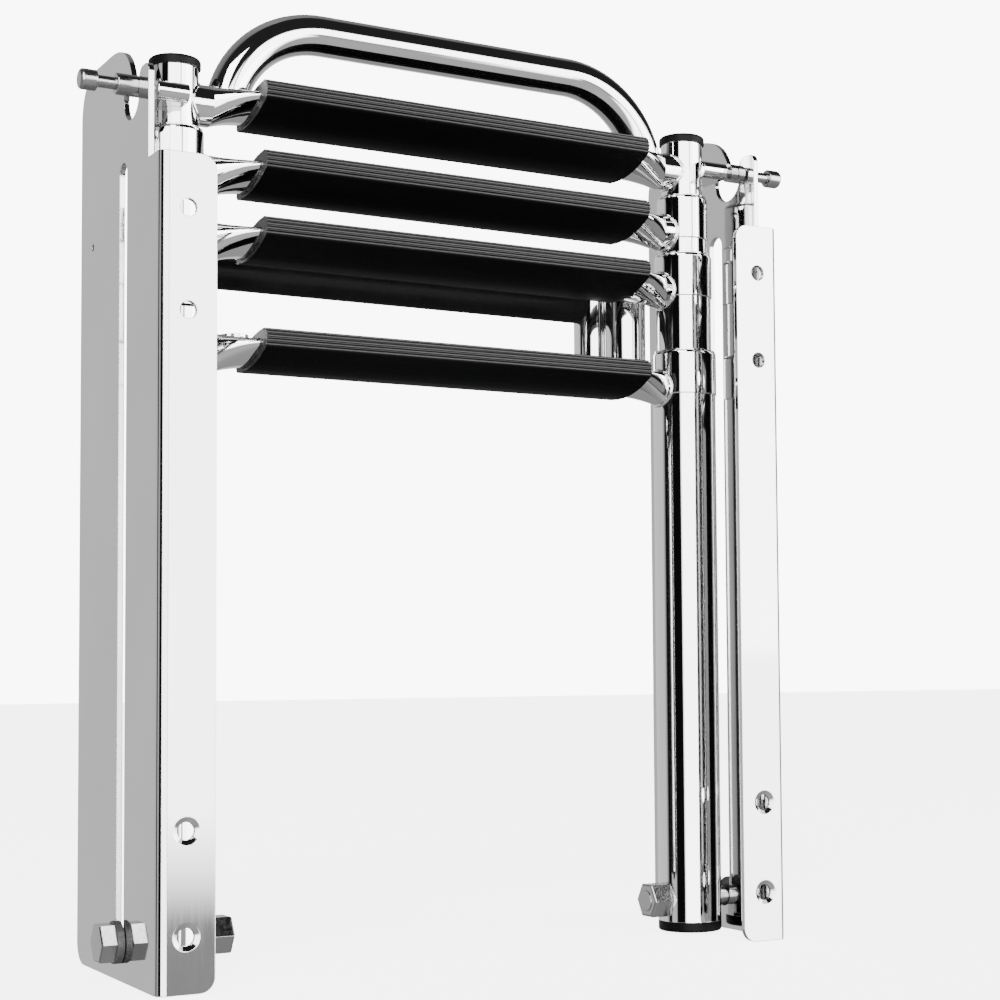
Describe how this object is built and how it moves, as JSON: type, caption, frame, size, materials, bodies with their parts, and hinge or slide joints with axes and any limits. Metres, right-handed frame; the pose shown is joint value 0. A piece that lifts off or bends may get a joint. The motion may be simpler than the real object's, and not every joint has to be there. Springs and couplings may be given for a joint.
{
  "type": "telescopic boat ladder",
  "caption": "Slide-mounted stainless boat ladder with telescoping stiles, ribbed treads and a pull handle, stowed between slotted rails.",
  "frame": {"origin": "on the left rail's mounting face, midway along its flange and midway across it", "axes": "+X across to the right-hand rail, +Y away from the mounting face, +Z along the rails to the head where the ladder comes out"},
  "size_m": [0.44, 0.138, 0.5231],
  "materials": {
    "rail_steel": "polished stainless sheet",
    "tube_steel": "mirror-polished stainless tube",
    "fastener_steel": "turned stainless",
    "washer_plastic": "moulded washer",
    "plug_rubber": "black moulded rubber",
    "tread_plastic": "black ribbed plastic"
  },
  "bodies": {
    "rails": {"left_rail": "rail_steel", "right_rail": "rail_steel", "left_pin_barrel": "fastener_steel", "right_pin_barrel": "fastener_steel"},
    "carriage": {"left_pivot_bolt": "fastener_steel", "right_pivot_bolt": "fastener_steel", "left_slide_washer": "washer_plastic", "right_slide_washer": "washer_plastic", "left_lock_nut": "fastener_steel", "right_lock_nut": "fastener_steel"},
    "outer_stage": {"left_outer_tube": "tube_steel", "right_outer_tube": "tube_steel", "left_foot_plug": "plug_rubber", "right_foot_plug": "plug_rubber", "left_standoff_bracket": "tube_steel", "right_standoff_bracket": "tube_steel", "rung_4": "tube_steel", "tread_4": "tread_plastic", "bumper_bar": "plug_rubber"},
    "third_stage": {"left_third_tube": "tube_steel", "right_third_tube": "tube_steel", "rung_3": "tube_steel", "tread_3": "tread_plastic"},
    "second_stage": {"left_second_tube": "tube_steel", "right_second_tube": "tube_steel", "rung_2": "tube_steel", "tread_2": "tread_plastic"},
    "inner_stage": {"left_inner_tube": "tube_steel", "right_inner_tube": "tube_steel", "left_tube_cap": "plug_rubber", "right_tube_cap": "plug_rubber", "rung_1": "tube_steel", "tread_1": "tread_plastic", "pull_handle": "tube_steel"},
    "left_pin": {"left_retaining_pin": "fastener_steel"},
    "right_pin": {"right_retaining_pin": "fastener_steel"}
  },
  "joints": [
    {"name": "ladder_slide", "type": "slide", "parent": "rails", "child": "carriage", "axis": [0, 0, 1], "range_m": [0, 0.4]},
    {"name": "ladder_swing", "type": "hinge", "parent": "carriage", "child": "outer_stage", "pos_m": [0.175, 0.0605, -0.19], "axis": [-1, 0, 0], "range_deg": [0, 70]},
    {"name": "third_stage_slide", "type": "slide", "parent": "outer_stage", "child": "third_stage", "axis": [0, 0, 1], "range_m": [0, 0.23]},
    {"name": "second_stage_slide", "type": "slide", "parent": "third_stage", "child": "second_stage", "axis": [0, 0, 1], "range_m": [0, 0.24]},
    {"name": "inner_stage_slide", "type": "slide", "parent": "second_stage", "child": "inner_stage", "axis": [0, 0, 1], "range_m": [0, 0.24]},
    {"name": "left_pin_pull", "type": "slide", "parent": "rails", "child": "left_pin", "axis": [-1, 0, 0], "range_m": [0, 0.012], "stiffness_N_per_m": 400},
    {"name": "right_pin_pull", "type": "slide", "parent": "rails", "child": "right_pin", "axis": [1, 0, 0], "range_m": [0, 0.012], "stiffness_N_per_m": 400}
  ]
}
